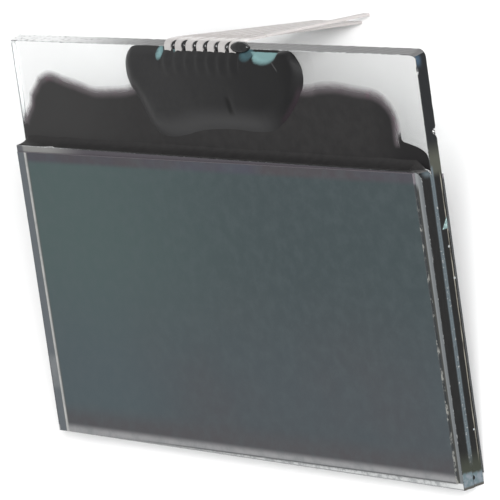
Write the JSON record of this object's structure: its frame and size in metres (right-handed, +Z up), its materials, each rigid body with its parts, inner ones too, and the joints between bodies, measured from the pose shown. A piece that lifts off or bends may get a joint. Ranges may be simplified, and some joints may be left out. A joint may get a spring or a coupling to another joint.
{
  "type": "lcd screen",
  "caption": "Bare glass display panel with dark polarizer window, clear contact ledge, black resin over the driver chip and flat clip pins over the ledge edge.",
  "frame": {"origin": "middle of the bounding box at table level, under the leaning panel", "axes": "+X along the panel's width, to the right as seen from the front; +Y from the low foot of the panel towards its contact ledge; +Z up from the table"},
  "size_m": [0.0562, 0.0388, 0.0151],
  "materials": {
    "clear_glass": "clear float glass, faintly green in the edge",
    "seal_epoxy": "pale grey printed epoxy",
    "crystal_layer": "thin liquid layer, dark between the films",
    "plug_resin": "translucent cured resin",
    "front_film": "dark green-grey film, satin",
    "rear_film": "dark grey film, matt",
    "chip_silicon": "bare silicon",
    "bond_film": "filled adhesive film",
    "tracks": "thin transparent conductor",
    "black_lacquer": "thin black coat with soft edges",
    "black_resin": "thick black potting resin, satin",
    "tinned_strip": "tinned strip, dull silver"
  },
  "bodies": {
    "root": {"rear_glass": "clear_glass", "front_glass": "clear_glass", "seal_ring": "seal_epoxy", "liquid_crystal": "crystal_layer", "fill_port_plug": "plug_resin", "front_polarizer": "front_film", "rear_polarizer": "rear_film", "driver_chip": "chip_silicon", "chip_bond_film": "bond_film", "contact_tracks": "tracks", "ledge_lacquer": "black_lacquer", "chip_resin": "black_resin", "pin_1": "tinned_strip", "pin_2": "tinned_strip", "pin_3": "tinned_strip", "pin_4": "tinned_strip", "pin_5": "tinned_strip", "pin_6": "tinned_strip", "pin_7": "tinned_strip"}
  },
  "joints": []
}
